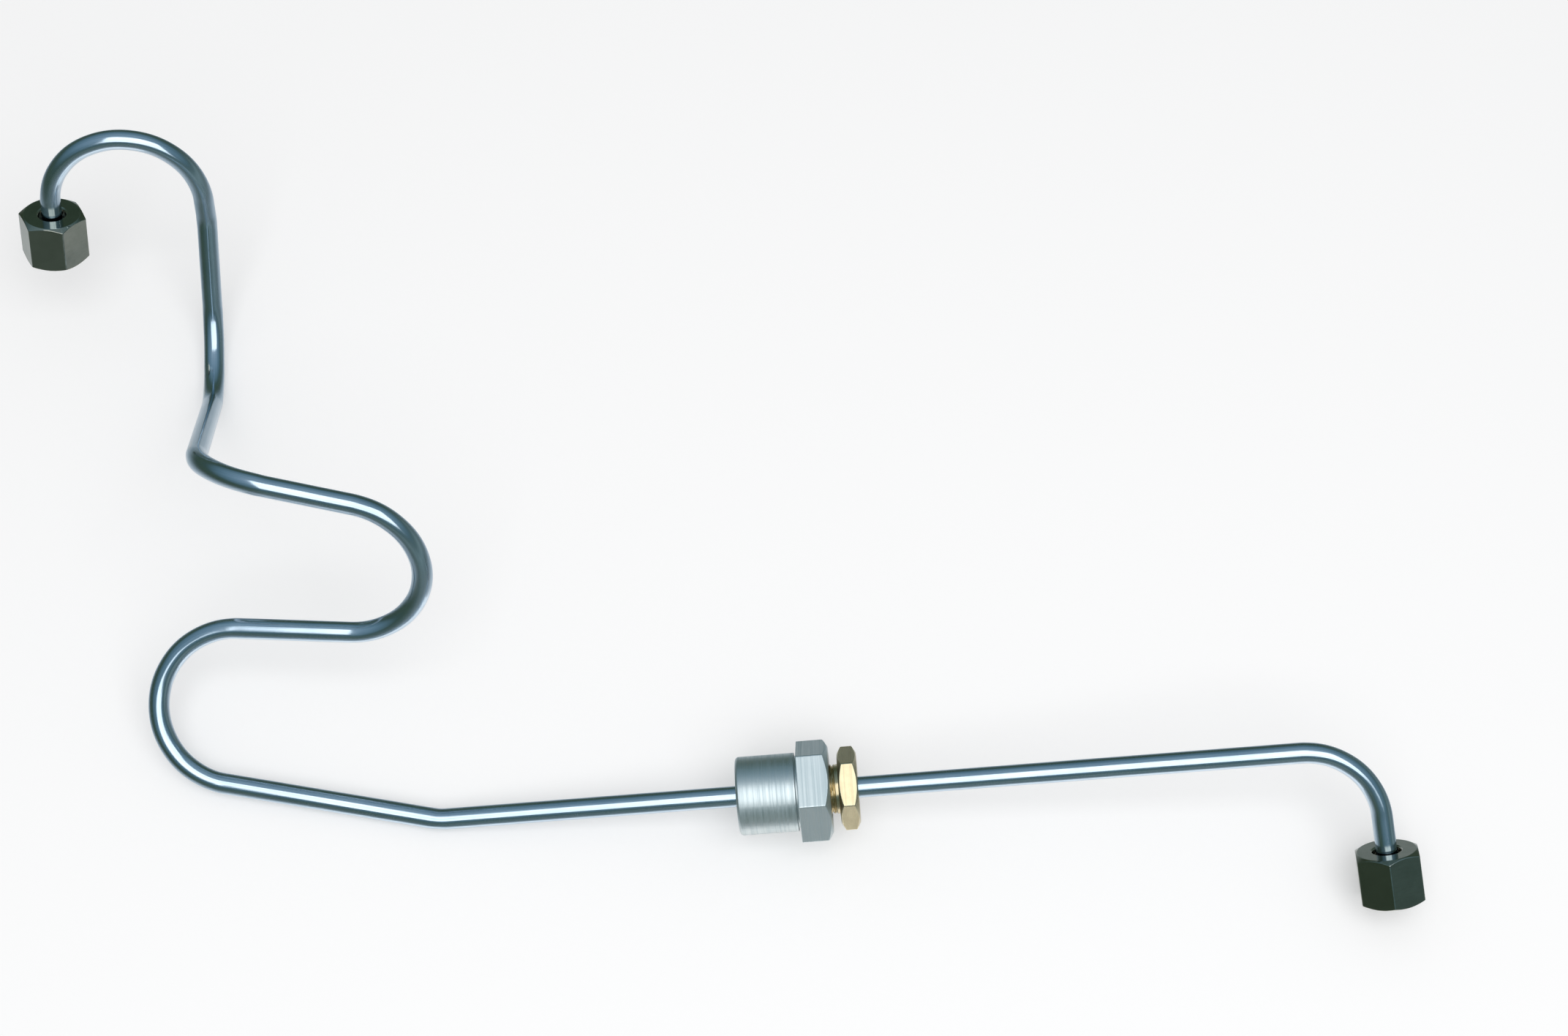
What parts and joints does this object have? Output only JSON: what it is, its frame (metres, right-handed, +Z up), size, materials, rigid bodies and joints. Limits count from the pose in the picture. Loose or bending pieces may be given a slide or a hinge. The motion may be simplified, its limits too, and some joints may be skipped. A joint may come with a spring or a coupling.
{
  "type": "injector pipe",
  "caption": "High-pressure injector pipe bent through hooks and loops, with a captive union nut at each end and a brass-nutted gland on its long straight run.",
  "frame": {"origin": "on the floor that the pipe lies on at rest, under the middle of its bounding box", "axes": "+X along the long straight run, from the loops to the injector end; +Y towards the hook over the pump end; +Z up from the floor"},
  "size_m": [0.405, 0.2386, 0.0744],
  "materials": {
    "pipe_plating": "bright blue-grey zinc plating",
    "union_nut_plating": "mirror-bright dark plating",
    "plain_steel": "plain turned steel",
    "gland_steel": "satin turned and milled steel, plated",
    "gland_brass": "bright machined brass",
    "packing_rubber": "matt black rubber"
  },
  "bodies": {
    "pipe_and_gland": {"pipe": "pipe_plating", "gland_body": "gland_steel", "gland_nut": "gland_brass", "gland_packing": "packing_rubber", "gland_washer": "plain_steel"},
    "pump_collar": {"pump_thrust_collar": "plain_steel"},
    "pump_nut": {"pump_union_nut": "union_nut_plating"},
    "injector_collar": {"injector_thrust_collar": "plain_steel"},
    "injector_nut": {"injector_union_nut": "union_nut_plating"}
  },
  "joints": [
    {"name": "pump_nut_slide", "type": "slide", "parent": "pipe_and_gland", "child": "pump_collar", "axis": [0.0749, 0.3871, 0.919], "range_m": [0, 0.004]},
    {"name": "pump_nut_spin", "type": "hinge", "parent": "pump_collar", "child": "pump_nut", "pos_m": [-0.19225, 0.10133, 0.02917], "axis": [0.0749, 0.3871, 0.919], "continuous": true},
    {"name": "injector_nut_slide", "type": "slide", "parent": "pipe_and_gland", "child": "injector_collar", "axis": [-0.1592, 0.7863, 0.597], "range_m": [0, 0.01]},
    {"name": "injector_nut_spin", "type": "hinge", "parent": "injector_collar", "child": "injector_nut", "pos_m": [0.19247, -0.11085, 0.00927], "axis": [-0.1592, 0.7863, 0.597], "continuous": true}
  ]
}
